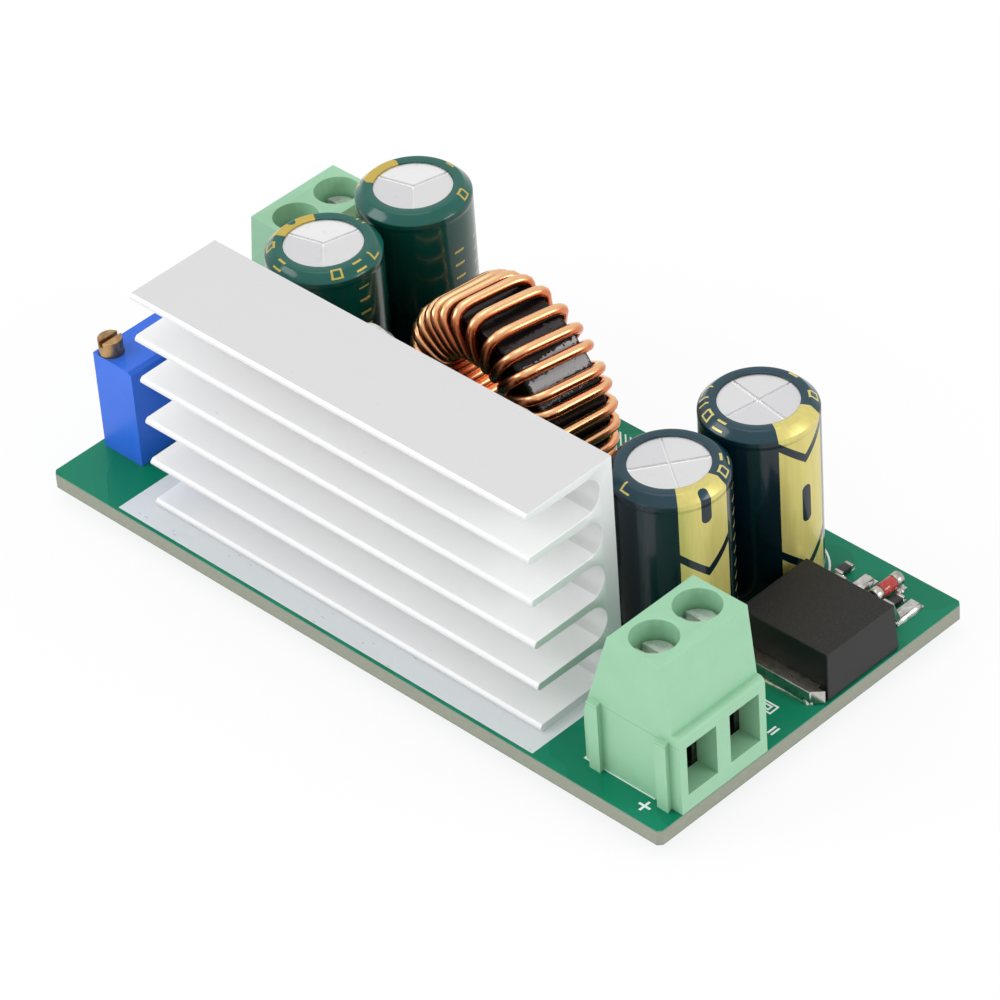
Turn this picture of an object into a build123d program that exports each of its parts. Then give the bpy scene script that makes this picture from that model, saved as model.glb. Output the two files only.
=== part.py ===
"""Step-down converter module: a small circuit board with a finned heatsink, a toroid choke,
four radial capacitors, two screw terminals, a trimmer and a surface-mount transistor.

Millimetres, +Z up. The origin is under the middle of the board, at the tips of the solder joints
that the module stands on. X runs along the board from the output end to the input end.
"""
from build123d import *
import math
import os

os.makedirs("parts", exist_ok=True)

# Circuit board
board_length = 72.4
board_width = 37.4
board_thickness = 1.6
board_corner = 0.4
solder_height = 1.3
solder_foot_radius = 1.1
solder_tip_radius = 0.45
solder_collar = 0.4
hole_clearance = 0.12
hole_sides = 6
hidden_sides = 12

# Heatsink: a comb of flat fins on an upright back plate
heatsink_depth = 9.98
heatsink_height = 22.85
heatsink_left_gap = 10.55
heatsink_right_gap = 15.6
heatsink_front_gap = 2.62
fin_count = 6
fin_tip_thickness = 0.75
fin_root_thickness = 0.95
fin_tip_bevel = 0.25
back_plate = 1.55

# Power packages screwed to the heatsink's back
package_width = 10.0
package_body_height = 9.1
package_depth = 4.5
package_taper = 4
package_gap = 0.5
tab_thickness = 1.3
tab_hole_drop = 2.8
tab_hole_radius = 1.85
tab_corner = 1.6
pad_thickness = 0.25
pad_margin = 0.6
package_lead_width = 0.8
package_lead_thickness = 0.5
package_lead_setback = 2.6
package_lead_embed = 2.0
regulator_inset = 17.15
regulator_screw_level = 17.95
regulator_lead_pitch = 1.7
regulator_lead_count = 5
regulator_lead_splay = 2.2
splay_start = 0.9
splay_end = 3.1
rectifier_inset = 12.6
rectifier_screw_level = 17.6
rectifier_lead_pitch = 2.54
rectifier_lead_count = 3

# Pan-head screws that clamp the packages
clamp_screw_radius = 1.5
clamp_screw_length = 4.0
clamp_head_radius = 2.75
clamp_crown_radius = 2.05
clamp_head_height = 1.4
clamp_rim_height = 0.7
clamp_slot_length = 3.0
clamp_slot_width = 0.6
clamp_slot_depth = 0.9
clamp_fit = 0.05
clamp_hole_spare = 0.3

# Choke: a toroid core that stands on its edge
choke_inset = 32.8
choke_setback = 12.65
choke_turned = -6.5
choke_lean = -4.0
choke_ground_gap = 0.45
core_outer_radius = 8.9
core_inner_radius = 5.45
core_height = 6.5
wire_radius = 0.475
wire_gap = 0.1
wire_sides = 6
turn_count = 23
turn_pitch = 11.7
turn_slant = 4.7
first_turn = 223.6
choke_lead_spread = 7.2
choke_lead_offset = 2.6
choke_lead_rise = 0.9

# Radial capacitors
can_radius = 5.0
can_sides = 16
sleeve_wall = 0.15
sleeve_shoulder = 0.75
sleeve_mouth_radius = 3.5
can_standoff = 0.15
bung_radius = 4.2
bung_drop = 0.12
bung_thickness = 0.35
capacitor_lead_radius = 0.3
capacitor_lead_pitch = 5.0
vent_width = 0.16
vent_depth = 0.15
vent_margin = 0.2
capacitor_row_pitch = 10.9
input_capacitor_height = 17.95
input_capacitor_inset = 15.85
input_capacitor_setback = 6.8
input_front_vents = (55, 145, 235, 325)
input_rear_vents = (-9, 81, 171, 261)
output_capacitor_height = 20.95
output_capacitor_inset = 16.0
output_capacitor_setback = 7.4
output_vents = (75, 195, 315)

# Screw terminals, two poles each
pole_pitch = 5.08
terminal_side_gap = 2.77
terminal_depth = 10.6
terminal_height = 14.6
terminal_back_height = 5.2
terminal_top_back = 7.45
terminal_top_front = 1.6
ledge_height = 7.9
ledge_depth = 0.85
ledge_round = 0.6
key_width = 0.9
key_flare = 0.15
key_height = 0.6
key_length = 7.1
keyway_clearance = 0.05
front_key_setback = 1.65
rear_key_setback = 9.1
window_width = 3.5
window_bottom = 1.65
window_height = 5.0
chamber_front = 2.25
chamber_length = 4.8
chamber_width = 3.8
chamber_height = 10.3
cage_clearance = 0.1
cage_rest_height = 0.9
cage_floor = 0.7
cage_opening = 3.9
cage_block = 1.6
cage_wall = 0.55
cage_travel = 3.0
contact_thickness = 0.7
contact_width = 2.2
contact_gap = 0.1
contact_leg_gap = 0.15
pin_width = 1.0
clamp_head_seat = 11.2
terminal_screw_radius = 1.5
terminal_head_radius = 1.78
terminal_head_height = 1.45
terminal_head_bore = 2.08
terminal_seat_gap = 0.05
terminal_shank_bore = 1.58
thread_clearance = 0.05
screw_slot_width = 0.7
screw_slot_depth = 0.7
slot_overrun = 1.0

# Trimmer
trimmer_width = 4.83
trimmer_length = 9.53
trimmer_height = 10.25
trimmer_left_gap = 0.8
trimmer_front_gap = 5.6
trimmer_foot = 0.4
trimmer_foot_length = 1.3
trimmer_edge = 0.35
trimmer_screw_inset = 1.15
trimmer_screw_radius = 1.1
trimmer_screw_stand = 1.5
trimmer_screw_depth = 3.0
trimmer_screw_clearance = 0.05
trimmer_slot_width = 0.45
trimmer_slot_depth = 0.6
trimmer_pin_radius = 0.25
trimmer_pin_pitch = 2.54

# Surface-mount transistor
transistor_right_gap = 0.2
transistor_back_gap = 7.9
transistor_width = 10.1
transistor_length = 8.9
transistor_height = 4.6
transistor_draft = 3.0
transistor_lift = 0.1
slug_thickness = 1.27
slug_reach = 1.3
slug_corner = 1.0
slug_embed = 6.0
slug_inner_width = 8.4
slug_step = 0.3
wing_pitch = 2.54
wing_width = 0.9
wing_thickness = 0.5
wing_exit_height = 2.4
wing_reach = 5.0
wing_foot = 2.6
wing_embed = 1.5
wing_drop = 0.9
wing_pad_margin = 0.4
stub_reach = 1.1

# Small surface-mount parts by the transistor's leads
glass_diode_offset = -0.25
glass_diode_setback = 4.5
glass_diode_radius = 0.75
glass_diode_sides = 16
glass_length = 1.7
cap_length = 0.85
cap_radius = 0.8
chip_width = 0.85
chip_length = 1.6
chip_height = 0.5
chip_end = 0.3
transistor_chips = ((1.05, 4.1), (-4.95, 4.5))
choke_chips = ((-10.6, 8.05), (15.0, 6.35))
pad_height = 0.1
pad_overhang = 0.3

# Levels and edges that follow from the sizes above
board_bottom = solder_height
board_top = board_bottom + board_thickness
left_edge = -board_length / 2
right_edge = board_length / 2
front_edge = -board_width / 2
back_edge = board_width / 2
heatsink_left = left_edge + heatsink_left_gap
heatsink_right = right_edge - heatsink_right_gap
heatsink_front = front_edge + heatsink_front_gap
heatsink_back = heatsink_front + heatsink_depth
tab_back = heatsink_back + pad_thickness
tab_front = tab_back + tab_thickness
regulator_x = heatsink_left + regulator_inset
rectifier_x = heatsink_right - rectifier_inset
screw_places = (
    (regulator_x, board_top + regulator_screw_level),
    (rectifier_x, board_top + rectifier_screw_level),
)
terminal_offset = board_width / 2 - terminal_side_gap - pole_pitch
output_face = Plane(origin=(left_edge, terminal_offset, board_top), x_dir=(-1, 0, 0), z_dir=(0, 0, 1))
input_face = Plane(origin=(right_edge, -terminal_offset, board_top), x_dir=(1, 0, 0), z_dir=(0, 0, 1))
pole_places = (-pole_pitch / 2, pole_pitch / 2)
screw_setback = chamber_front + chamber_length / 2
leg_setback = chamber_front + chamber_length + contact_leg_gap
trimmer_x = left_edge + trimmer_left_gap + trimmer_width / 2
trimmer_y = front_edge + trimmer_front_gap + trimmer_length / 2
input_capacitor_x = right_edge - input_capacitor_inset
input_front_y = heatsink_back + input_capacitor_setback
output_capacitor_x = left_edge + output_capacitor_inset
output_front_y = heatsink_back + output_capacitor_setback
input_capacitors = [(input_capacitor_x, input_front_y + row * capacitor_row_pitch) for row in (0, 1)]
output_capacitors = [(output_capacitor_x, output_front_y + row * capacitor_row_pitch) for row in (0, 1)]
choke_x = left_edge + choke_inset
choke_y = heatsink_back + choke_setback
transistor_x = right_edge - transistor_right_gap - transistor_width / 2
transistor_back = back_edge - transistor_back_gap
transistor_y = transistor_back - transistor_length
glass_diode_x = transistor_x + glass_diode_offset
glass_diode_y = transistor_back + glass_diode_setback
chip_places = [(transistor_x + x, transistor_back + y) for x, y in transistor_chips]
chip_places += [(choke_x + x, choke_y + y) for x, y in choke_chips]

up = (Align.CENTER, Align.CENTER, Align.MIN)
down = (Align.CENTER, Align.CENTER, Align.MAX)


def keep(piece, label):
    """Name a finished piece and write it to its own file."""
    piece.part.label = label
    export_step(piece.part, f"parts/{label}.step")


def upright(face):
    """The plane across a terminal, whose sketch x points out of its wire side and y points up."""
    return Plane(origin=face.origin, x_dir=face.x_dir, z_dir=-face.y_dir)


def spread(count, pitch):
    """Places of a row of leads about its middle."""
    return [(number - (count - 1) / 2) * pitch for number in range(count)]


def package_lead_rows(count, pitch, splay):
    """Offsets of a package's leads, every second one bent out by splay."""
    return [(offset, splay if number % 2 else 0.0) for number, offset in enumerate(spread(count, pitch))]


regulator_leads = package_lead_rows(regulator_lead_count, regulator_lead_pitch, regulator_lead_splay)
rectifier_leads = package_lead_rows(rectifier_lead_count, rectifier_lead_pitch, 0.0)
package_lead_y = tab_back + package_lead_setback


# The choke's own axes: its ring stands almost upright and is turned a little
turned = math.radians(choke_turned)
lean = math.radians(choke_lean)
ring_along = Vector(math.cos(turned), math.sin(turned), 0)
ring_across = Vector(-math.sin(turned), math.cos(turned), 0)
ring_axis = ring_across * math.cos(lean) - Vector(0, 0, 1) * math.sin(lean)
wire_outer = core_outer_radius + wire_gap + wire_radius
wire_inner = core_inner_radius - wire_gap - wire_radius
wire_side = core_height / 2 + wire_gap + wire_radius
choke_centre_height = board_top + choke_ground_gap + wire_outer + wire_radius
ring_plane = Plane(origin=(choke_x, choke_y, choke_centre_height), x_dir=ring_along, z_dir=ring_axis * -1)
choke_lead_places = [
    (choke_x - choke_lead_spread, choke_y - choke_lead_offset),
    (choke_x + choke_lead_spread, choke_y + choke_lead_offset),
]


def drilled_holes():
    """Every plated hole in the board as x, y and radius."""
    holes = []
    for x, y in input_capacitors + output_capacitors:
        for offset in spread(2, capacitor_lead_pitch):
            holes.append((x + offset, y, capacitor_lead_radius))
    for face in (output_face, input_face):
        for pole in pole_places:
            place = face.from_local_coords((-leg_setback - contact_thickness / 2, pole))
            holes.append((place.X, place.Y, math.hypot(pin_width, contact_thickness) / 2))
    for x, leads in ((regulator_x, regulator_leads), (rectifier_x, rectifier_leads)):
        for offset, splay in leads:
            lead_corner = math.hypot(package_lead_width, package_lead_thickness) / 2
            holes.append((x + offset, package_lead_y + splay, lead_corner))
    for x, y in choke_lead_places:
        holes.append((x, y, wire_radius))
    for offset in spread(3, trimmer_pin_pitch):
        holes.append((trimmer_x, trimmer_y + offset, trimmer_pin_radius))
    return holes


def make_board():
    """The board, drilled for every lead."""
    with BuildPart() as board:
        with BuildSketch(Plane.XY.offset(board_bottom)) as outline:
            Rectangle(board_length, board_width)
            chamfer(outline.vertices(), board_corner)
            for x, y, radius in drilled_holes():
                with Locations((x, y)):
                    RegularPolygon(radius + hole_clearance, hole_sides, mode=Mode.SUBTRACT)
        extrude(amount=board_thickness)
    keep(board, "circuit_board")


def make_solder_joints():
    """Cones of solder, each over the trimmed end of a lead: drawn tips up, then mirrored to hang down."""
    flat_share = math.cos(math.pi / hole_sides)
    with BuildPart() as joints:
        for x, y, radius in drilled_holes():
            foot = max(solder_foot_radius, radius + solder_collar)
            slope = math.degrees(math.atan((foot - solder_tip_radius) * flat_share / solder_height))
            with BuildSketch():
                with Locations((x, y)):
                    RegularPolygon(foot, hole_sides)
            extrude(amount=solder_height, taper=slope)
        mirror(about=Plane.XY.offset(solder_height / 2), mode=Mode.REPLACE)
    keep(joints, "solder_joints")


def make_heatsink():
    """The extruded heatsink: fins that thicken to round roots, and a tapped hole for each package."""
    fin_pitch = (heatsink_height - fin_tip_thickness) / (fin_count - 1)
    mouth = fin_pitch - fin_tip_thickness
    root = fin_pitch - fin_root_thickness
    first_slot = board_top + (fin_tip_thickness + fin_pitch) / 2
    slot_middles = [first_slot + number * fin_pitch for number in range(fin_count - 1)]
    root_y = heatsink_back - back_plate - root / 2
    with BuildPart() as heatsink:
        with BuildSketch(Plane.YZ.offset(heatsink_left)) as comb:
            with Locations((heatsink_front, board_top)):
                Rectangle(heatsink_depth, heatsink_height, align=(Align.MIN, Align.MIN))
            for level in slot_middles:
                with Locations((root_y, level)):
                    Circle(root / 2, mode=Mode.SUBTRACT)
                with Locations((0, level)):
                    Polygon(
                        (heatsink_front, -mouth / 2),
                        (root_y, -root / 2),
                        (root_y, root / 2),
                        (heatsink_front, mouth / 2),
                        align=None,
                        mode=Mode.SUBTRACT,
                    )
            chamfer(comb.vertices().group_by(Axis.X)[0], fin_tip_bevel)
        extrude(amount=heatsink_right - heatsink_left)
        with BuildSketch(Plane.XZ.offset(-heatsink_back)):
            with Locations(*screw_places):
                RegularPolygon(clamp_screw_radius + clamp_fit, hidden_sides, major_radius=False)
        extrude(
            amount=clamp_screw_length - pad_thickness - tab_thickness + clamp_hole_spare,
            mode=Mode.SUBTRACT,
        )
    keep(heatsink, "heatsink")


def tab_span(screw_height):
    """The lowest and highest levels of a package's tab, from the level of its screw."""
    bottom = screw_height - clamp_head_radius - package_gap - package_body_height
    return bottom, screw_height + tab_hole_drop


def make_package(name, place, leads):
    """One power package: its metal tab, its leads and the moulded body around them."""
    x, screw_height = place
    tab_bottom, tab_top = tab_span(screw_height)
    with BuildPart() as tab:
        with BuildSketch(Plane.XZ.offset(-tab_back)) as outline:
            with Locations((x, tab_bottom)):
                Rectangle(package_width, tab_top - tab_bottom, align=(Align.CENTER, Align.MIN))
            chamfer(outline.vertices().group_by(Axis.Y)[-1], tab_corner)
            with Locations((x, screw_height)):
                RegularPolygon(tab_hole_radius, hidden_sides, mode=Mode.SUBTRACT)
        extrude(amount=-tab_thickness)
    with BuildPart() as pins:
        for offset, splay in leads:
            with BuildLine() as route:
                Polyline(
                    (x + offset, package_lead_y, tab_bottom + package_lead_embed),
                    (x + offset, package_lead_y, tab_bottom - splay_start),
                    (x + offset, package_lead_y + splay, tab_bottom - splay_end),
                    (x + offset, package_lead_y + splay, board_bottom),
                )
            with BuildSketch(Plane.XY.offset(tab_bottom + package_lead_embed)):
                with Locations((x + offset, package_lead_y)):
                    Rectangle(package_lead_width, package_lead_thickness)
            sweep(path=route.line, transition=Transition.RIGHT)
    with BuildPart() as body:
        with BuildSketch(Plane.XZ.offset(-tab_front)):
            with Locations((x, tab_bottom)):
                Rectangle(package_width, package_body_height, align=(Align.CENTER, Align.MIN))
        extrude(amount=tab_thickness - package_depth, taper=package_taper)
        add(pins.part, mode=Mode.SUBTRACT)
    keep(tab, f"{name}_tab")
    keep(pins, f"{name}_leads")
    keep(body, f"{name}_body")


def make_thermal_pads():
    """Soft insulating pads between the tabs and the heatsink, each with a punched hole."""
    with BuildPart() as pads:
        with BuildSketch(Plane.XZ.offset(-heatsink_back)):
            for x, screw_height in screw_places:
                tab_bottom, tab_top = tab_span(screw_height)
                with Locations((x, tab_bottom - pad_margin)):
                    Rectangle(
                        package_width + 2 * pad_margin,
                        tab_top - tab_bottom + 2 * pad_margin,
                        align=(Align.CENTER, Align.MIN),
                    )
                with Locations((x, screw_height)):
                    RegularPolygon(tab_hole_radius, hidden_sides, mode=Mode.SUBTRACT)
        extrude(amount=-pad_thickness)
    keep(pads, "thermal_pads")


def make_clamp_screws():
    """Pan-head screws with cross slots, one through each tab into the heatsink."""
    seats = [Plane(origin=(x, tab_front, level), z_dir=(0, 1, 0)) for x, level in screw_places]
    crown_height = clamp_head_height - clamp_rim_height
    with BuildPart(*seats) as screws:
        Cylinder(clamp_head_radius, clamp_rim_height, align=up)
        with Locations((0, 0, clamp_rim_height)):
            Cone(clamp_head_radius, clamp_crown_radius, crown_height, align=up)
        with Locations((0, 0, clamp_head_height)):
            Box(clamp_slot_length, clamp_slot_width, clamp_slot_depth, align=down, mode=Mode.SUBTRACT)
            Box(clamp_slot_width, clamp_slot_length, clamp_slot_depth, align=down, mode=Mode.SUBTRACT)
        Cylinder(clamp_screw_radius, clamp_screw_length, align=down)
    keep(screws, "clamp_screws")


def make_core():
    """The toroid core."""
    with BuildPart() as core:
        with BuildSketch(ring_plane.offset(-core_height / 2)):
            Circle(core_outer_radius)
            Circle(core_inner_radius, mode=Mode.SUBTRACT)
        extrude(amount=core_height)
    keep(core, "choke_core")


def ring_point(angle, radius, side):
    """A point beside the core, at an angle round its ring."""
    turn = math.radians(angle)
    return ring_plane.from_local_coords((radius * math.cos(turn), radius * math.sin(turn), side))


def winding_route():
    """The wire's corners: down through the board, round the core turn by turn, and down again."""
    start, end = choke_lead_places
    low = board_top + choke_lead_rise
    crossing = (turn_pitch - turn_slant) / 3
    route = [Vector(start[0], start[1], board_bottom), Vector(start[0], start[1], low)]
    for number in range(turn_count):
        angle = first_turn - number * turn_pitch
        route.append(ring_point(angle, wire_outer, wire_side))
        route.append(ring_point(angle - turn_slant, wire_outer, -wire_side))
        if number == turn_count - 1:
            break
        route.append(ring_point(angle - turn_slant - crossing, wire_inner, -wire_side))
        route.append(ring_point(angle - turn_slant - 2 * crossing, wire_inner, wire_side))
    route += [Vector(end[0], end[1], low), Vector(end[0], end[1], board_bottom)]
    return route


def make_winding():
    """The enamelled wire, one length with a turn round the core at each pitch."""
    with BuildPart() as winding:
        with BuildLine() as wire:
            Polyline(*winding_route())
        with BuildSketch(Plane.XY.offset(board_bottom)):
            with Locations(choke_lead_places[0]):
                RegularPolygon(wire_radius, wire_sides)
        sweep(path=wire.line, transition=Transition.RIGHT)
    keep(winding, "choke_winding")


def make_capacitor(name, place, height, vents):
    """One capacitor: a scored can with its rubber bung, in a shrunk sleeve, on two leads.

    The can has flat sides where the sleeve hides it, and the sleeve is hollowed by the same shape.
    """
    x, y = place
    base = board_top + can_standoff
    sleeve_top = height - can_standoff
    can_top = sleeve_top - sleeve_wall
    seat = Plane(origin=(x, y, base), z_dir=(0, 0, 1))
    with BuildPart() as hollow:
        with BuildSketch(seat):
            RegularPolygon(can_radius, can_sides)
        extrude(amount=can_top)
        chamfer(hollow.faces().sort_by(Axis.Z)[-1].edges(), sleeve_shoulder)
    with BuildPart() as sleeve:
        with Locations(seat):
            Cylinder(can_radius + sleeve_wall, sleeve_top, align=up)
            chamfer(sleeve.faces().sort_by(Axis.Z)[-1].edges(), sleeve_shoulder)
            Cylinder(sleeve_mouth_radius, sleeve_top, align=up, mode=Mode.SUBTRACT)
        add(hollow.part, mode=Mode.SUBTRACT)
    with BuildPart() as can:
        add(hollow.part)
        split(bisect_by=seat.offset(bung_drop + bung_thickness))
        with BuildSketch(seat.offset(can_top)):
            for angle in vents:
                with PolarLocations(0, 1, start_angle=angle):
                    Rectangle(
                        sleeve_mouth_radius - vent_margin,
                        vent_width,
                        align=(Align.MIN, Align.CENTER),
                    )
        extrude(amount=-vent_depth, mode=Mode.SUBTRACT)
    with BuildPart() as bung:
        with BuildSketch(seat.offset(bung_drop)):
            RegularPolygon(bung_radius, hidden_sides)
        extrude(amount=bung_thickness)
    with BuildPart() as leads:
        with BuildSketch(Plane.XY.offset(board_bottom)):
            with Locations(*[(x + offset, y) for offset in spread(2, capacitor_lead_pitch)]):
                RegularPolygon(capacitor_lead_radius, hole_sides)
        extrude(amount=base + bung_drop - board_bottom)
    keep(sleeve, f"{name}_sleeve")
    keep(can, f"{name}_can")
    keep(bung, f"{name}_bung")
    keep(leads, f"{name}_leads")


def key_section(grow):
    """The dovetail that joins one terminal block to the next, pointing towards -y."""
    half = key_width / 2 + grow
    depth = key_height + grow
    Polygon((-half, 0), (-half - key_flare, -depth), (half + key_flare, -depth), (half, 0), align=None)


def make_terminal(name, face):
    """One two-pole terminal block: housing, clamp screws, rising cages and contacts."""
    half_width = pole_pitch
    key_places = (-front_key_setback, -rear_key_setback)
    leg_front = -leg_setback
    with BuildPart(face) as housing:
        with BuildSketch(upright(face)) as side:
            Polygon(
                (-terminal_depth, 0),
                (-terminal_depth, terminal_back_height),
                (-terminal_top_back, terminal_height),
                (-terminal_top_front, terminal_height),
                (-ledge_depth, ledge_height),
                (0, ledge_height),
                (0, 0),
                align=None,
            )
            corner = side.vertices().filter_by_position(Axis.Y, ledge_height - 0.1, ledge_height + 0.1)
            fillet(corner.sort_by(Axis.X)[-1], ledge_round)
        extrude(amount=half_width, both=True)
        with BuildSketch(face):
            with Locations(*[(place, -half_width) for place in key_places]):
                key_section(0)
        extrude(amount=key_length)
        with BuildSketch(face):
            with Locations(*[(place, half_width) for place in key_places]):
                key_section(keyway_clearance)
        extrude(amount=key_length + keyway_clearance, mode=Mode.SUBTRACT)
        with BuildSketch(face):
            with Locations(*[(-screw_setback, pole) for pole in pole_places]):
                RegularPolygon(terminal_shank_bore, hidden_sides, major_radius=False)
        extrude(amount=clamp_head_seat, mode=Mode.SUBTRACT)
        for pole in pole_places:
            with Locations((0, pole, window_bottom)):
                Box(
                    chamber_front * 2,
                    window_width,
                    window_height,
                    align=up,
                    mode=Mode.SUBTRACT,
                )
            with Locations((-screw_setback, pole, 0)):
                Box(chamber_length, chamber_width, chamber_height, align=up, mode=Mode.SUBTRACT)
            with Locations((leg_front + contact_leg_gap, pole, 0)):
                Box(
                    contact_leg_gap + contact_thickness + contact_gap,
                    contact_width + 2 * contact_gap,
                    terminal_back_height + 2 * contact_leg_gap,
                    align=(Align.MAX, Align.CENTER, Align.MIN),
                    mode=Mode.SUBTRACT,
                )
            with Locations((-screw_setback, pole, clamp_head_seat)):
                Cylinder(terminal_head_bore, terminal_height, align=up, mode=Mode.SUBTRACT)
    keep(housing, f"{name}_terminal_housing")

    opening_bottom = cage_rest_height + cage_floor
    block_bottom = opening_bottom + cage_opening
    tongue_bottom = opening_bottom + cage_travel + contact_gap
    head_bottom = clamp_head_seat + terminal_seat_gap
    slot_length = 2 * terminal_head_radius + slot_overrun
    with BuildPart(face) as contacts:
        for pole in pole_places:
            with Locations((leg_front, pole, 0)):
                Box(
                    contact_thickness,
                    contact_width,
                    tongue_bottom + contact_thickness,
                    align=(Align.MAX, Align.CENTER, Align.MIN),
                )
                Box(
                    contact_thickness,
                    pin_width,
                    board_thickness,
                    align=(Align.MAX, Align.CENTER, Align.MAX),
                )
            with Locations((-chamber_front - cage_clearance, pole, tongue_bottom)):
                Box(
                    leg_setback - chamber_front,
                    contact_width,
                    contact_thickness,
                    align=(Align.MAX, Align.CENTER, Align.MIN),
                )
    keep(contacts, f"{name}_terminal_contacts")

    for number, pole in enumerate(pole_places, start=1):
        with BuildPart(face) as cage:
            with Locations((-screw_setback, pole, cage_rest_height)):
                Box(
                    chamber_length - 2 * cage_clearance,
                    chamber_width - 2 * cage_clearance,
                    cage_floor + cage_opening + cage_block,
                    align=up,
                )
            with Locations((-screw_setback, pole, opening_bottom)):
                Box(
                    chamber_length,
                    chamber_width - 2 * cage_clearance - 2 * cage_wall,
                    cage_opening,
                    align=up,
                    mode=Mode.SUBTRACT,
                )
                Cylinder(
                    terminal_screw_radius + thread_clearance,
                    terminal_height,
                    align=up,
                    mode=Mode.SUBTRACT,
                )
        keep(cage, f"{name}_cage_{number}")
        with BuildPart(face) as screw:
            with Locations((-screw_setback, pole, head_bottom)):
                Cylinder(terminal_head_radius, terminal_head_height, align=up)
            with Locations((-screw_setback, pole, head_bottom + terminal_head_height)):
                Box(slot_length, screw_slot_width, screw_slot_depth, align=down, mode=Mode.SUBTRACT)
            with Locations((-screw_setback, pole, head_bottom)):
                Cylinder(terminal_screw_radius, head_bottom - block_bottom - contact_gap, align=down)
        keep(screw, f"{name}_clamp_screw_{number}")


def make_trimmer():
    """The trimmer: its case on two feet, the brass adjusting screw and three pins."""
    screw_x = left_edge + trimmer_left_gap + trimmer_screw_inset
    screw_y = front_edge + trimmer_front_gap + trimmer_screw_inset
    top = board_top + trimmer_height
    bore_floor = top - trimmer_screw_depth
    with BuildPart() as case:
        with Locations((trimmer_x, trimmer_y, board_top)):
            Box(trimmer_width, trimmer_length, trimmer_height, align=up)
        chamfer(case.edges().filter_by(Axis.Y).sort_by(Axis.Z)[-2:].sort_by(Axis.X)[-1], trimmer_edge)
        with Locations((trimmer_x, trimmer_y, board_top)):
            Box(
                trimmer_width,
                trimmer_length - 2 * trimmer_foot_length,
                trimmer_foot,
                align=up,
                mode=Mode.SUBTRACT,
            )
        with Locations((screw_x, screw_y, bore_floor)):
            Cylinder(
                trimmer_screw_radius + trimmer_screw_clearance,
                trimmer_screw_depth + trimmer_edge,
                align=up,
                mode=Mode.SUBTRACT,
            )
    with BuildPart() as screw:
        with Locations((screw_x, screw_y, bore_floor + trimmer_screw_clearance)):
            Cylinder(
                trimmer_screw_radius,
                trimmer_screw_depth + trimmer_screw_stand - trimmer_screw_clearance,
                align=up,
            )
        with Locations((screw_x, screw_y, top + trimmer_screw_stand)):
            Box(
                trimmer_slot_width,
                2 * trimmer_screw_radius + slot_overrun,
                trimmer_slot_depth,
                align=down,
                mode=Mode.SUBTRACT,
            )
    with BuildPart() as pins:
        with BuildSketch(Plane.XY.offset(board_bottom)):
            with Locations(*[(trimmer_x, trimmer_y + offset) for offset in spread(3, trimmer_pin_pitch)]):
                RegularPolygon(trimmer_pin_radius, hole_sides)
        extrude(amount=board_thickness + trimmer_foot)
    keep(case, "trimmer_case")
    keep(screw, "trimmer_screw")
    keep(pins, "trimmer_pins")


def make_transistor():
    """The surface-mount transistor: metal slug, gull-wing leads and moulded body."""
    bottom = board_top + transistor_lift
    back = transistor_back
    with BuildPart() as slug:
        with BuildSketch(Plane.XY.offset(bottom)) as outline:
            with Locations((transistor_x, transistor_y - slug_reach)):
                Rectangle(transistor_width, slug_reach - slug_step, align=(Align.CENTER, Align.MIN))
            chamfer(outline.vertices().group_by(Axis.Y)[0], slug_corner)
            with Locations((transistor_x, transistor_y - slug_reach)):
                Rectangle(slug_inner_width, slug_reach + slug_embed, align=(Align.CENTER, Align.MIN))
        extrude(amount=slug_thickness)
    with BuildPart() as wings:
        for side in (-1, 1):
            x = transistor_x + side * wing_pitch
            with BuildLine() as route:
                Polyline(
                    (x, back - wing_embed, bottom + wing_exit_height),
                    (x, back + wing_reach - wing_foot - wing_drop, bottom + wing_exit_height),
                    (x, back + wing_reach - wing_foot, bottom + wing_thickness / 2),
                    (x, back + wing_reach, bottom + wing_thickness / 2),
                )
            with BuildSketch(Plane(origin=route.line @ 0, x_dir=(1, 0, 0), z_dir=(0, 1, 0))):
                Rectangle(wing_width, wing_thickness)
            sweep(path=route.line, transition=Transition.RIGHT)
        with Locations((transistor_x, back - wing_embed, bottom + wing_exit_height)):
            Box(
                wing_width,
                wing_embed + stub_reach,
                wing_thickness,
                align=(Align.CENTER, Align.MIN, Align.CENTER),
            )
    with BuildPart() as body:
        with BuildSketch(Plane.XY.offset(bottom)):
            with Locations((transistor_x, transistor_y)):
                Rectangle(transistor_width, transistor_length, align=(Align.CENTER, Align.MIN))
        extrude(amount=transistor_height, taper=transistor_draft)
        add(slug.part, mode=Mode.SUBTRACT)
        add(wings.part, mode=Mode.SUBTRACT)
    keep(slug, "transistor_slug")
    keep(wings, "transistor_leads")
    keep(body, "transistor_body")


def make_glass_diode():
    """The small glass diode that lies behind the transistor's leads, and its two metal ends."""
    level = board_top + pad_height + cap_radius
    middle = Plane(origin=(glass_diode_x, glass_diode_y, level), x_dir=(1, 0, 0), z_dir=(0, 1, 0))
    with BuildPart() as glass:
        with BuildSketch(middle):
            RegularPolygon(glass_diode_radius, glass_diode_sides)
        extrude(amount=glass_length / 2, both=True)
    with BuildPart() as ends:
        for side in (-1, 1):
            with BuildSketch(middle.offset(side * (glass_length + cap_length) / 2)):
                RegularPolygon(cap_radius, glass_diode_sides)
            extrude(amount=cap_length / 2, both=True)
    keep(glass, "diode_glass")
    keep(ends, "diode_ends")


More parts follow.
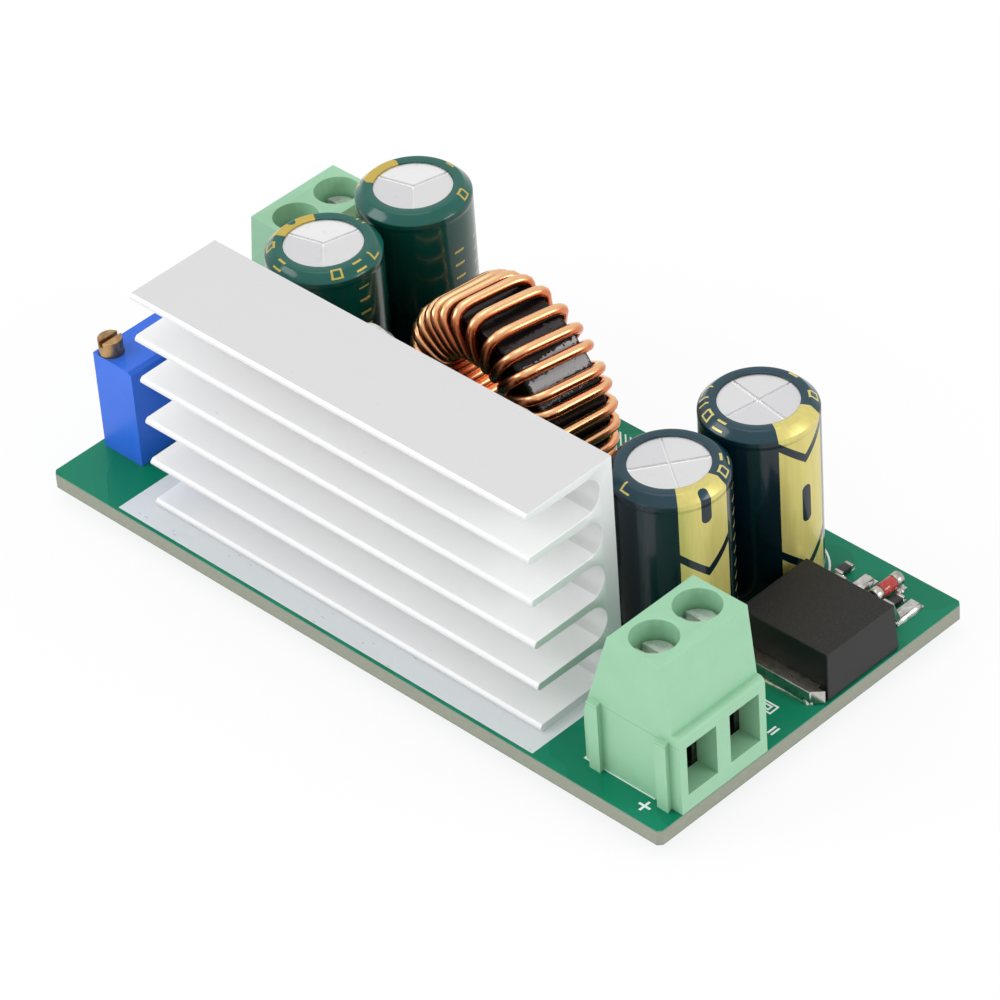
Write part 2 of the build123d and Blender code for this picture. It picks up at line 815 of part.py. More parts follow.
def make_chips():
    """Chip resistors: a ceramic body with a wrapped metal end each side."""
    body_length = chip_length - 2 * chip_end
    with BuildPart(Plane.XY.offset(board_top + pad_height)) as bodies:
        with Locations(*chip_places):
            Box(chip_width, body_length, chip_height, align=up)
    with BuildPart(Plane.XY.offset(board_top + pad_height)) as ends:
        for x, y in chip_places:
            for side in (-1, 1):
                with Locations((x, y + side * (body_length + chip_end) / 2)):
                    Box(chip_width, chip_end, chip_height, align=up)
    keep(bodies, "chip_resistor_bodies")
    keep(ends, "chip_resistor_ends")


def make_surface_solder():
    """Solder pads under the surface-mount pieces."""
    foot_middle = transistor_back + wing_reach - wing_foot / 2
    with BuildPart(Plane.XY.offset(board_top)) as pads:
        with Locations((transistor_x, transistor_y - slug_reach)):
            Box(
                slug_inner_width,
                slug_reach + slug_embed,
                transistor_lift,
                align=(Align.CENTER, Align.MIN, Align.MIN),
            )
        for side in (-1, 1):
            with Locations((transistor_x + side * wing_pitch, foot_middle)):
                Box(
                    wing_width + wing_pad_margin,
                    wing_foot + 2 * wing_pad_margin,
                    transistor_lift,
                    align=up,
                )
            with Locations((glass_diode_x, glass_diode_y + side * (glass_length + cap_length) / 2)):
                Box(2 * glass_diode_radius, cap_length + pad_overhang, pad_height, align=up)
        for x, y in chip_places:
            for side in (-1, 1):
                with Locations((x, y + side * (chip_length - chip_end) / 2)):
                    Box(chip_width, chip_end + pad_overhang, pad_height, align=up)
    keep(pads, "surface_solder")


make_board()
make_solder_joints()
make_heatsink()
make_thermal_pads()
make_package("regulator", screw_places[0], regulator_leads)
make_package("rectifier", screw_places[1], rectifier_leads)
make_clamp_screws()
make_core()
make_winding()
make_capacitor("input_front_capacitor", input_capacitors[0], input_capacitor_height, input_front_vents)
make_capacitor("input_rear_capacitor", input_capacitors[1], input_capacitor_height, input_rear_vents)
make_capacitor("output_front_capacitor", output_capacitors[0], output_capacitor_height, output_vents)
make_capacitor("output_rear_capacitor", output_capacitors[1], output_capacitor_height, output_vents)
make_terminal("input", input_face)
make_terminal("output", output_face)
make_trimmer()
make_transistor()
make_glass_diode()
make_chips()
make_surface_solder()
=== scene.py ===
# %% [markdown]
# # A step-down converter module
#
# The module is a small green circuit board. It carries a finned aluminium heatsink, a ring choke
# wound with copper wire, four round capacitors, two green screw terminals, a blue trimmer and a
# flat power transistor. The solids come from the CAD model and stay where they are. This script
# gives each one its finish, and builds the few pieces that CAD keeps plain: the round wire of the
# choke, the round diode and the soft shapes of melted solder.

import math
import random

import bmesh
import bpy
from mathutils import Matrix, Vector


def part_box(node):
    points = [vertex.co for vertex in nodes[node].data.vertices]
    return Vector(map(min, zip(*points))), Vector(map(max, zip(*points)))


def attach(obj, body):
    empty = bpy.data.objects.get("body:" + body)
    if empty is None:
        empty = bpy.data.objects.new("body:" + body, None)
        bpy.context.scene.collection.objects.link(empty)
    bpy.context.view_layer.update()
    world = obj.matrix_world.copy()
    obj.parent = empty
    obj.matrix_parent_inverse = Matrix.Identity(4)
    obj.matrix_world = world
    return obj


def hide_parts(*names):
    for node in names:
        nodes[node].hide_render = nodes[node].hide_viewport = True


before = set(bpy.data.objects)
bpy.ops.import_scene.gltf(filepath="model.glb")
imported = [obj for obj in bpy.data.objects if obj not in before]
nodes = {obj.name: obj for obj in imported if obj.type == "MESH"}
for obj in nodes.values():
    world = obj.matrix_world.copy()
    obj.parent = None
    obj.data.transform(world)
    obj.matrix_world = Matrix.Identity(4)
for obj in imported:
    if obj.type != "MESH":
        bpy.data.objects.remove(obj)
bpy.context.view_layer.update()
MM = 0.001

# %% [markdown]
# ## Where the board's landmarks are
#
# Print, wear and solder all sit at places on the board. They could be typed in as numbers, but then
# they would part from the solids as soon as a size changes. So each place is worked out from the
# boxes of the CAD nodes. The board's top face is the level that most pieces stand on.

# %% Measure the frame
board_low, board_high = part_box("circuit_board")
board_top, board_bottom = board_high.z, board_low.z
board_length = board_high.x - board_low.x
heatsink_low, heatsink_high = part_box("heatsink")
print("board top at", round(board_top / MM, 2), "mm, board", round(board_length / MM, 1), "mm long")

# %% [markdown]
# ## Shader maths as plain sums
#
# A finish needs masks, such as "where the gold stripe is". They could be wired up by hand in the
# shader editor, but a mask is easier to read as a sum. `Value` wraps one socket and turns `+`, `-`,
# `*` and `/` into Math nodes, and `Nodes.node` adds any other node: first its settings, then the
# values or links of its sockets.


# %% A socket that adds up
class Value:
    """One output socket of a node tree; sums on it add their own Math nodes."""

    def __init__(self, owner, socket):
        self.owner = owner
        self.socket = socket

    def out(self, name):
        return Value(self.owner, self.socket.node.outputs[name])

    def maths(self, operation, *terms):
        kind = "ShaderNodeVectorMath" if self.socket.type == "VECTOR" else "ShaderNodeMath"
        return self.owner.node(kind, {"operation": operation}, dict(enumerate(terms)))

    def __add__(self, other):
        return self.maths("ADD", self, other)

    def __radd__(self, other):
        return self.maths("ADD", other, self)

    def __sub__(self, other):
        return self.maths("SUBTRACT", self, other)

    def __rsub__(self, other):
        return self.maths("SUBTRACT", other, self)

    def __mul__(self, other):
        return self.maths("MULTIPLY", self, other)

    def __rmul__(self, other):
        return self.maths("MULTIPLY", other, self)

    def __truediv__(self, other):
        return self.maths("DIVIDE", self, other)

    def __rtruediv__(self, other):
        return self.maths("DIVIDE", other, self)

    def __abs__(self):
        return self.maths("ABSOLUTE", self)

    def __gt__(self, other):
        return self.maths("GREATER_THAN", self, other)

    def __lt__(self, other):
        return self.maths("LESS_THAN", self, other)

    def either(self, other):
        return self.maths("MAXIMUM", self, other)

    def fraction(self):
        return self.maths("FRACT", self)


def inside(value, low, high):
    """1 where the value lies between low and high, and 0 elsewhere."""
    return (value > low) * (value < high)


def reach(east, north):
    """The length of a flat step with these two parts."""
    square = east * east + north * north
    return square.maths("SQRT", square)


def direction_of(east, north):
    """The angle of a flat step with these two parts, in radians."""
    return east.maths("ARCTAN2", north, east)


print("values can be added, compared and joined")


# %% Colours and node trees
def colour(red, green, blue):
    """A colour given as the 0 to 255 levels of a picture, as the linear values a shader takes."""
    linear = [
        level / 255 / 12.92 if level <= 10 else ((level / 255 + 0.055) / 1.055) ** 2.4
        for level in (red, green, blue)
    ]
    return (*linear, 1.0)


def grey(level):
    return colour(level, level, level)


class Nodes:
    """A node tree with one method that adds any node."""

    def __init__(self, tree):
        self.tree = tree

    def put(self, socket, value):
        if isinstance(value, Value):
            self.tree.links.new(value.socket, socket)
        elif socket.type == "VECTOR" and isinstance(value, (int, float)):
            socket.default_value = (value, value, value)
        else:
            socket.default_value = value

    def node(self, kind, settings=None, sockets=None):
        made = self.tree.nodes.new(kind)
        for name, value in (settings or {}).items():
            setattr(made, name, value)
        for name, value in (sockets or {}).items():
            self.put(made.inputs[name], value)
        shown = [socket for socket in made.outputs if socket.enabled]
        return Value(self, shown[0])


print("pure white is", grey(255), "and mid grey is", round(grey(128)[0], 3))


# %% A finish
class Finish(Nodes):
    """A material with a Principled surface, built up node by node."""

    def __init__(self, name, **constants):
        self.data = bpy.data.materials.new(name)
        self.data.use_nodes = True
        super().__init__(self.data.node_tree)
        self.surface = self.tree.nodes["Principled BSDF"]
        self.set(**constants)

    def set(self, **values):
        for name, value in values.items():
            self.put(self.surface.inputs[name.replace("_", " ")], value)
        return self

    def parts(self, vector):
        made = self.node("ShaderNodeSeparateXYZ", None, {"Vector": vector})
        return made.out("X"), made.out("Y"), made.out("Z")

    def place(self):
        """The point on the piece, in metres, as a vector and as its three parts."""
        point = self.node("ShaderNodeTexCoord").out("Object")
        return point, *self.parts(point)

    def facing(self):
        """The three parts of the direction in which the surface faces."""
        return self.parts(self.node("ShaderNodeNewGeometry").out("Normal"))

    def noise(self, point, size, detail=2.0, roughness=0.5):
        """Cloudy noise from 0 to 1 whose blotches are about this size, in metres."""
        sockets = {"Vector": point, "Scale": 1 / size, "Detail": detail, "Roughness": roughness}
        return self.node("ShaderNodeTexNoise", {"noise_dimensions": "3D"}, sockets)

    def specks(self, point, size, share):
        """Round specks, one to a cell of this size; their radius is this share of the cell."""
        sockets = {"Vector": point, "Scale": 1 / size}
        return self.node("ShaderNodeTexVoronoi", {"feature": "F1"}, sockets).out("Distance") < share

    def stretch(self, point, along, across, up):
        """The point with its three directions scaled, for streaks and grain."""
        return point * self.node("ShaderNodeCombineXYZ", None, {"X": along, "Y": across, "Z": up})

    def mix(self, amount, base, top):
        """The base colour with the top colour laid over it by amount."""
        settings = {"data_type": "RGBA", "clamp_factor": True}
        factor, first_colour, second_colour = 0, 6, 7
        sockets = {factor: amount, first_colour: base, second_colour: top}
        return self.node("ShaderNodeMix", settings, sockets).out("Result")

    def fade(self, value, low, high, start=0.0, end=1.0):
        """A smooth step from start to end as the value goes from low to high."""
        sockets = dict(enumerate((value, low, high, start, end)))
        return self.node("ShaderNodeMapRange", {"interpolation_type": "SMOOTHSTEP"}, sockets)

    def bump(self, height, distance, strength=1.0):
        """Relief of this depth in metres from a height between 0 and 1."""
        sockets = {"Height": height, "Distance": distance, "Strength": strength}
        return self.node("ShaderNodeBump", None, sockets)


print("finishes can be built")

# %% [markdown]
# ## Dressing a CAD node
#
# A moulded or extruded edge is never knife sharp, and its thin bright line is much of what makes a
# small part look real. The edge could be cut in CAD, but hundreds of tiny fillets make a heavy
# model. A Bevel modifier gives that line without touching the CAD mesh. A Weld goes first, because
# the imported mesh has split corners, and Weighted Normal keeps the flat faces flat.


# %% Give a node its finish and its softened edges
def soften(node, edge, segments):
    """Round the node's sharp edges by this width."""
    if "custom_normal" in node.data.attributes:
        node.data.attributes.remove(node.data.attributes["custom_normal"])
    for polygon in node.data.polygons:
        polygon.use_smooth = True
    node.modifiers.new("weld", "WELD").merge_threshold = 0.001 * MM
    bevel = node.modifiers.new("edge", "BEVEL")
    bevel.width = edge
    bevel.segments = segments
    bevel.limit_method = "ANGLE"
    bevel.angle_limit = math.radians(32)
    node.modifiers.new("normals", "WEIGHTED_NORMAL").keep_sharp = False


dressed = []


def dress(name, finish, edge=None, segments=2):
    node = nodes[name]
    node.data.materials.clear()
    node.data.materials.append(finish.data)
    for polygon in node.data.polygons:
        polygon.material_index = 0
    if edge is not None:
        soften(node, edge, segments)
    dressed.append(name)


print(len(nodes), "nodes wait for a finish")

# %% [markdown]
# ## The circuit board
#
# A board is a sheet of glass fibre and resin with copper on it, under a skin of green lacquer.
# Where copper lies under the lacquer the green is lighter and stands up by a hair. White ink marks
# the places of the parts. The marks could be thin solids, but real ink has no thickness that the eye
# sees, so they are painted by position: each mark is a mask made from X and Y. The sawn edges are
# picked out by the way they face.

# %% The board's own directions
board = Finish(
    "green_board", Roughness=0.3, Specular_IOR_Level=0.16, Coat_Weight=0.06, Coat_Roughness=0.15
)
board_point, board_x, board_y, board_z = board.place()
upper_face = board_z > board_top - 0.2 * MM
sawn_side = 1 - (abs(board.facing()[2]) > 0.5)
line_width = 0.18 * MM


def outline(low_x, high_x, low_y, high_y):
    """A rectangle's outline in ink."""
    outer = inside(board_x, low_x, high_x) * inside(board_y, low_y, high_y)
    inner = inside(board_x, low_x + line_width, high_x - line_width)
    return outer - inner * inside(board_y, low_y + line_width, high_y - line_width) * outer


def ring(centre, radius):
    """A circle's outline in ink."""
    distance = reach(board_x - centre.x, board_y - centre.y)
    return abs(distance - radius) < line_width / 2


def bar(centre_x, centre_y, half_x, half_y):
    """A filled rectangle about its centre."""
    return (abs(board_x - centre_x) < half_x) * (abs(board_y - centre_y) < half_y)


print("ink lines are", round(line_width / MM, 2), "mm wide")

# %% Outlines round the parts
marks = 0.0 * board_x
for end, outward in (("input", 1), ("output", -1)):
    low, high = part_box(f"{end}_terminal_housing")
    rear, front = (low.x, high.x) if outward > 0 else (high.x, low.x)
    near, far = sorted((rear - outward * 0.25 * MM, front - outward * 3 * MM))
    marks = marks.either(outline(near, far, low.y + 0.5 * MM, high.y - 0.5 * MM))
for capacitor in ("input_front", "input_rear", "output_front", "output_rear"):
    low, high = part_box(f"{capacitor}_capacitor_sleeve")
    marks = marks.either(ring((low + high) / 2, (high.x - low.x) / 2 + 0.35 * MM))
print("two terminals and four capacitors outlined")

# %% Small plain marks
frame_x, frame_y = board_high.x - 3.7 * MM, board_low.y + 17.0 * MM
for half_x, half_y in ((0.868 * MM, 0.589 * MM), (0.42 * MM, 0.31 * MM)):
    marks = marks.either(
        outline(frame_x - half_x, frame_x + half_x, frame_y - half_y, frame_y + half_y)
    )

plus_x, plus_y = board_high.x - 3.1 * MM, board_low.y + 1.6 * MM
arm_long, arm_wide = 0.62 * MM, 0.12 * MM
marks = marks.either(bar(plus_x, plus_y, arm_long, arm_wide)).either(
    bar(plus_x, plus_y, arm_wide, arm_long)
)
for stroke_inset in (1.48 * MM, 1.1 * MM):
    marks = marks.either(bar(board_high.x - stroke_inset, board_low.y + 15.1 * MM, 0.1 * MM, 0.52 * MM))

hatch_pitch = 0.62 * MM
hatch = inside(board_x, board_low.x + 34.2 * MM, board_low.x + 36.9 * MM)
hatch = hatch * inside(board_y, board_high.y - 3.6 * MM, board_high.y - 1.4 * MM)
marks = marks.either(hatch * (((board_x + board_y) / hatch_pitch).fraction() < 0.3))
print("plus, strokes, nested frames and hatched field drawn")

# %% [markdown]
# Under the heatsink the lacquer is left off and the tinned copper shows as a pale, scratched plate.
# Copper zones, mottled lacquer and scratches are all noise at different sizes. A photograph of a
# board could give them too, but noise stays sharp at any distance and belongs to no one board.

# %% The bare plate under the heatsink
plate_left_gap, plate_right_gap, plate_front_gap = 8.2 * MM, 14.4 * MM, 0.35 * MM
plate = inside(board_x, board_low.x + plate_left_gap, board_high.x - plate_right_gap)
plate = plate * inside(board_y, board_low.y + plate_front_gap, heatsink_high.y + 0.9 * MM)
scratch = board.noise(board.stretch(board_point, 0.16, 1.0, 1.0), 0.22 * MM, 2.0)
scratch = board.fade(scratch, 0.7, 0.74) * board.fade(board.noise(board_point, 3 * MM, 0.0), 0.5, 0.56)
bare_plate = board.mix(scratch, colour(217, 222, 224), colour(160, 168, 172))
plate_length = board_length - plate_left_gap - plate_right_gap
print("bare plate is", round(plate_length / MM, 1), "mm long")

# %% Lacquer, glass fibre and ink
copper = board.noise(board.stretch(board_point, 1.0, 1.0, 0.0), 6 * MM, 0.0)
copper = board.fade(copper, 0.46, 0.48)
lacquer = board.mix(copper, colour(12, 123, 91), colour(16, 130, 98))
lacquer = board.mix(board.noise(board_point, 1.4 * MM, 3.0) * 0.25, lacquer, colour(14, 110, 82))
weave = board.noise(board.stretch(board_point, 1.0, 1.0, 6.0), 0.5 * MM, 4.0)
glass_fibre = board.mix(weave, colour(164, 166, 152), colour(136, 140, 126))
rim = (board_z > board_top - 0.16 * MM).either(board_z < board_bottom + 0.16 * MM)
glass_fibre = board.mix(rim * 0.35, glass_fibre, colour(64, 138, 108))

worn_ink = board.noise(board_point, 0.5 * MM, 4.0)
kept_ink = board.fade(worn_ink, 0.2, 0.28)
skin = board.mix(plate * upper_face, lacquer, bare_plate)
skin = board.mix(marks * upper_face * kept_ink, skin, colour(240, 244, 244))
board.set(
    Base_Color=board.mix(sawn_side, skin, glass_fibre),
    Roughness=board.fade(sawn_side.either(plate * upper_face * 0.6), 0.0, 1.0, 0.3, 0.75),
    Normal=board.bump(copper * 0.7 + plate * 0.3 + worn_ink * 0.05, 0.03 * MM, 0.6),
)
dress("circuit_board", board, 0.08 * MM)
print("board painted with", len(board.tree.nodes), "nodes")

# %% [markdown]
# ## The heatsink
#
# The heatsink is a slice of extruded aluminium. Extrusion leaves faint lines along its length, and
# the skin is etched to a pale, almost white satin that scatters light deep between the fins. One
# metallic value for all of it would turn the slots dark. So the slots scatter like chalk, the top
# mirrors a little, and the sawn ends mirror more towards the bottom, where the terminal stands. The
# top face and the faces that look to the front are painted a little darker, as painted shade.

# %% Extruded aluminium
aluminium = Finish("satin_aluminium")
point, x, y, z = aluminium.place()
facing_x, facing_y, facing_z = aluminium.facing()
lines = aluminium.noise(aluminium.stretch(point, 0.03, 1.0, 1.0), 0.16 * MM, 3.0, 0.6)
cloud = aluminium.noise(point, 4 * MM, 2.0)
sawn = abs(facing_x) > 0.7
# Painted shade: the top face is painted a darker satin than the slots.
painted_shade_top_face = (facing_z > 0.7) * (z > heatsink_high.z - 0.3 * MM)

satin = aluminium.mix(lines * 0.4 + cloud * 0.3, grey(252), colour(244, 244, 245))
painted_shade_top_tone = aluminium.mix(lines * 0.5 + cloud * 0.3, grey(219), colour(213, 213, 214))
metal = aluminium.mix(painted_shade_top_face, satin, painted_shade_top_tone)
metal = aluminium.mix(sawn, metal, colour(238, 240, 241))
# Painted shade: faces that look to the front, the fin tips, are painted darker.
metal = aluminium.mix(facing_y < -0.4, metal, colour(226, 226, 227))
specks = aluminium.specks(point, 2.6 * MM, 0.035)
sawn_shine = aluminium.fade(z, heatsink_low.z + 5 * MM, heatsink_high.z - 1 * MM, 0.6, 0.12)
aluminium.set(
    Base_Color=aluminium.mix(specks * 0.4, metal, colour(190, 192, 192)),
    Metallic=0.1 + (painted_shade_top_face * 0.3 + sawn * sawn_shine),
    Roughness=0.34 + lines * 0.1 + cloud * 0.06,
    Normal=aluminium.bump(lines, 0.004 * MM, 0.4),
)
dress("heatsink", aluminium, 0.06 * MM)
print("heatsink is", round((heatsink_high.z - heatsink_low.z) / MM, 1), "mm tall")

# %% [markdown]
# ## Moulded plastics
#
# The terminals are a pale green nylon, a little cloudy where light enters it, with a faint seam
# where the two halves of the mould met. The trimmer's case is a bright blue moulding. The power
# packages are black epoxy with a fine sparkle of silica, dull on the top where the mould was
# textured. One colour alone would look like a drawing, so each has clouds and a skin of fine noise.


# %% Nylon and blue moulding
def plastic(name, light, dark, roughness, grain, depth, **constants):
    """A moulded plastic with faint clouds in its colour and a fine textured skin."""
    made = Finish(name, **constants)
    point = made.place()[0]
    cloud = made.noise(point, 2.5 * MM, 3.0)
    skin = made.noise(point, grain, 2.0)
    made.tone = made.mix(cloud, light, dark)
    made.set(
        Base_Color=made.tone,
        Roughness=(roughness - 0.08) + skin * 0.16,
        Normal=made.bump(skin, depth, 0.4),
    )
    return made


nylon = plastic(
    "green_nylon", colour(154, 203, 168), colour(144, 194, 159), 0.42, 0.12 * MM, 0.006 * MM,
    Subsurface_Weight=0.12, Subsurface_Scale=0.6 * MM,
)
seam_level, seam_half = board_top + 6.9 * MM, 0.05 * MM
seam = (abs(nylon.place()[3] - seam_level) < seam_half) * (abs(nylon.facing()[1]) > 0.95)
nylon.set(Base_Color=nylon.mix(seam * 0.45, nylon.tone, colour(96, 150, 112)))
blue_case = plastic(
    "blue_moulding", colour(52, 114, 230), colour(42, 102, 216), 0.34, 0.15 * MM, 0.006 * MM,
    Specular_IOR_Level=0.35,
)
for end in ("input", "output"):
    dress(f"{end}_terminal_housing", nylon, 0.14 * MM)
dress("trimmer_case", blue_case, 0.16 * MM)
print("terminals and trimmer finished")

# %% [markdown]
# The epoxy of the packages is filled with ground silica, and a grain of it glints here and there. The
# glints could be tiny solids, but cells of noise cost nothing. They are kept to the top face, because
# the sides left the mould smooth.

# %% Black epoxy
epoxy = Finish("black_epoxy", Specular_IOR_Level=0.34)
point = epoxy.place()[0]
grain = epoxy.noise(point, 0.09 * MM, 3.0, 0.7)
sparkle = epoxy.specks(point, 0.16 * MM, 0.2)
upward = epoxy.facing()[2] > 0.7
resin = epoxy.mix(grain, grey(27), colour(42, 41, 40))
resin = epoxy.mix(1 - upward, resin, grey(25))
epoxy.set(
    Base_Color=epoxy.mix(sparkle * upward * 0.4, resin, colour(96, 95, 92)),
    Roughness=0.34 + upward * 0.2 + grain * 0.1,
    Normal=epoxy.bump(grain, 0.012 * MM, 0.5),
)
for package in ("regulator", "rectifier", "transistor"):
    dress(f"{package}_body", epoxy, 0.12 * MM)
print("three packages finished")

# %% [markdown]
# ## Bright metals
#
# Tinned leads, plated screws and brass differ in colour and in how smooth they are. Each could have
# a material of its own, but they tarnish and scratch alike, so one recipe with a few numbers serves
# them all: a metallic base, a slow cloud of tarnish and fine scratches. The screws deep in the
# terminals are set less metallic, because a full mirror in a green well turns green. The cages in
# the terminals are a darker copy of the steel, painted shade.


# %% Tin, steel and brass
def plated(name, bright, dull, roughness, metallic=1.0):
    """A metal with clouds of tarnish and fine scratches."""
    made = Finish(name, Metallic=metallic)
    point = made.place()[0]
    cloud = made.noise(point, 0.9 * MM, 4.0, 0.6)
    fine = made.noise(made.stretch(point, 0.15, 1.0, 1.0), 0.12 * MM, 3.0)
    made.set(
        Base_Color=made.mix(made.fade(cloud, 0.35, 0.7), bright, dull),
        Roughness=(roughness - 0.07) + fine * 0.14 + cloud * 0.08,
        Normal=made.bump(fine, 0.006 * MM, 0.4),
    )
    return made


tin = plated("tinned_metal", colour(206, 202, 196), colour(172, 166, 158), 0.26)
solder = plated("bright_solder", colour(222, 222, 220), colour(176, 174, 168), 0.18)
steel = plated("plated_steel", colour(232, 232, 230), colour(190, 189, 184), 0.24)
# Painted shade: the cages are a darker copy of the plated steel.
cage_steel = plated("cage_steel", colour(112, 108, 102), colour(74, 70, 64), 0.4)
well_steel = plated("bright_steel", colour(238, 238, 236), colour(206, 206, 202), 0.3, 0.6)
brass = plated("turned_brass", colour(200, 162, 116), colour(150, 116, 82), 0.36)
print("six metals mixed")

# %% Dress the metal pieces
tinned_nodes = [
    "regulator_tab", "rectifier_tab", "regulator_leads", "rectifier_leads", "transistor_slug",
    "transistor_leads", "trimmer_pins", "chip_resistor_ends", "input_terminal_contacts",
    "output_terminal_contacts",
]
for name in tinned_nodes:
    dress(name, tin, 0.04 * MM)
dress("clamp_screws", steel, 0.05 * MM)
for end in ("input", "output"):
    for pole in (1, 2):
        dress(f"{end}_clamp_screw_{pole}", well_steel, 0.06 * MM)
        dress(f"{end}_cage_{pole}", cage_steel, 0.05 * MM)
dress("trimmer_screw", brass, 0.08 * MM)
dress("surface_solder", solder, 0.03 * MM)
print(len(dressed), "nodes dressed so far")

# %% [markdown]
# ## Capacitor sleeves
#
# Each can wears a shrunk plastic sleeve: dark teal at the input, green at the output. The negative
# side carries a gold stripe with chevrons and bars. The print could be an unwrapped picture, but
# plain shapes are sharper as sums. So the print is laid out on the sleeve as if it were unrolled:
# the angle round the can gives one direction, and the way along the surface from the edge of the
# top, over the rim and down the side gives the other.


# %% A sleeve as if unrolled
class Sleeve(Finish):
    """A sleeve's finish, with places counted in millimetres on the unrolled sleeve."""

    radius = 5.15

    def __init__(self, node_name):
        super().__init__(
            node_name + "_print", Specular_IOR_Level=0.32, Coat_Weight=0.26, Coat_Roughness=0.03
        )
        low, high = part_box(node_name)
        self.point, x, y, z = self.place()
        self.east = (x - (low.x + high.x) / 2) / MM
        self.north = (y - (low.y + high.y) / 2) / MM
        self.along = (high.z - z) / MM - (self.radius - reach(self.east, self.north))

    def arc(self, angle):
        """How far round the sleeve a point is from this angle, in millimetres of arc."""
        turn = math.radians(angle)
        ahead = self.east * math.cos(turn) + self.north * math.sin(turn)
        beside = self.north * math.cos(turn) - self.east * math.sin(turn)
        return direction_of(ahead, beside) * self.radius


print("sleeves are unrolled at a radius of", Sleeve.radius, "mm")

# %% Gold stripe with chevrons and bars
chevron_slope, chevron_half = 0.85, 0.44
bar_half_width, bar_half_length = 0.5, 1.4


def gold_stripe(sleeve, angle, half_width, chevrons, bars):
    """The stripe's gold, without the dark chevrons and rounded bars in it."""
    arc = sleeve.arc(angle)
    dark = 0.0 * arc
    for tip in chevrons:
        dark = dark.either(abs(sleeve.along - tip + abs(arc) * chevron_slope) < chevron_half)
    for middle in bars:
        past = (abs(sleeve.along - middle) - bar_half_length).either(0.0)
        dark = dark.either(arc * arc + past * past < bar_half_width**2)
    return (abs(arc) < half_width) * (1 - dark)


print("stripe bars are", 2 * (bar_half_length + bar_half_width), "mm long")

# %% [markdown]
# A real sleeve carries small print on its rim and side. Plain frames and lines stand in for it: the
# sleeve looks printed, and there is nothing to read.

# %% Plain marks on the rim and in columns
mark_half_width, mark_half_height, mark_line = 0.58, 0.66, 0.22
column_pitch, column_half = 1.35, 0.55


def rim_marks(sleeve, angles):
    """Plain shapes round the rim, four kinds in turn: a frame, two lines, a corner, two bars."""
    drawn = 0.0 * sleeve.along
    open_width, open_height = mark_half_width - mark_line, mark_half_height - mark_line
    for number, angle in enumerate(angles):
        spot, up = sleeve.arc(angle), sleeve.along + 0.35
        mark = (abs(spot) < mark_half_width) * (abs(up) < mark_half_height)
        gaps = [
            (abs(spot) < open_width) * (abs(up) < open_height),
            abs(up) < 0.4,
            (spot > -0.34) * (up < 0.42),
            abs(spot) < 0.34,
        ]
        drawn = drawn.either(mark * (1 - gaps[number % len(gaps)]))
    return drawn


def column_marks(sleeve, columns):
    """Columns of short thin lines down the side."""
    drawn = 0.0 * sleeve.along
    for angle, first, last in columns:
        step = (sleeve.along / column_pitch).fraction()
        line = (abs(sleeve.arc(angle)) < column_half) * (abs(step - 0.5) < 0.09)
        drawn = drawn.either(line * inside(sleeve.along, first, last) * 0.7)
    return drawn


print("column lines are", column_pitch, "mm apart")


# %% Colour of a sleeve
def sleeve_finish(node_name, tones, stripe, chevrons, bars, marks, columns):
    body, rim_tone, gold_tone = tones
    made = Sleeve(node_name)
    cloud = made.noise(made.point, 3 * MM, 2.0)
    # Painted shade: besides clouds at random, the body is painted darker down its side towards the board.
    shade = made.fade(made.along, 1.0, 14.0)
    base = made.mix(cloud * 0.3 + shade * 0.55, body, colour(2, 14, 16))
    base = made.mix(made.fade(made.facing()[2], 0.1, 0.65), base, rim_tone)
    streaks = made.noise(made.stretch(made.point, 1.0, 1.0, 0.08), 0.35 * MM, 2.0)
    foil = made.mix(streaks * 0.5, gold_tone, colour(176, 160, 84))
    printed = gold_stripe(made, *stripe, chevrons, bars)
    printed = printed.either(rim_marks(made, marks).either(column_marks(made, columns)))
    shoulder = made.fade(abs(made.along - 1.15), 0.34, 0.0)
    ripple = made.noise(made.point, 1.6 * MM, 1.0)
    return made.set(
        Base_Color=made.mix(printed, base, foil),
        Metallic=printed * 0.4,
        Roughness=0.18 + printed * 0.2,
        Normal=made.bump(ripple * 0.2 + shoulder, 0.07 * MM, 0.8),
    )


print("sleeve colours ready")

# %% The four sleeves
teal_tones = (colour(8, 36, 46), colour(22, 58, 70), colour(226, 214, 128))
green_tones = (colour(6, 66, 56), colour(12, 88, 78), colour(204, 176, 74))
sleeve_prints = {
    "input_front_capacitor": dict(
        tones=teal_tones, stripe=(-12, 2.5), chevrons=(8.2, 18.7), bars=(1.2, 12.7),
        marks=(28, 49, 264), columns=((35, 2, 15),),
    ),
    "input_rear_capacitor": dict(
        tones=teal_tones, stripe=(-1, 2.6), chevrons=(3.6, 15.0), bars=(8.3, 19.4),
        marks=(49, 89, 202, 222, 245, 267), columns=(),
    ),
    "output_front_capacitor": dict(
        tones=green_tones, stripe=(176, 2.6), chevrons=(7.6, 18.1), bars=(0.6, 12.4),
        marks=(-30, -2, 24, 87, 224, 260), columns=((-4, 2, 9),),
    ),
    "output_rear_capacitor": dict(
        tones=green_tones, stripe=(185, 2.6), chevrons=(1.6, 12.1), bars=(6.6, 17.6),
        marks=(26, 85), columns=((1, 3.5, 9), (33, 3.5, 9)),
    ),
}
for capacitor, paint in sleeve_prints.items():
    dress(f"{capacitor}_sleeve", sleeve_finish(f"{capacitor}_sleeve", **paint), 0.12 * MM, 3)
print(len(sleeve_prints), "sleeves printed")
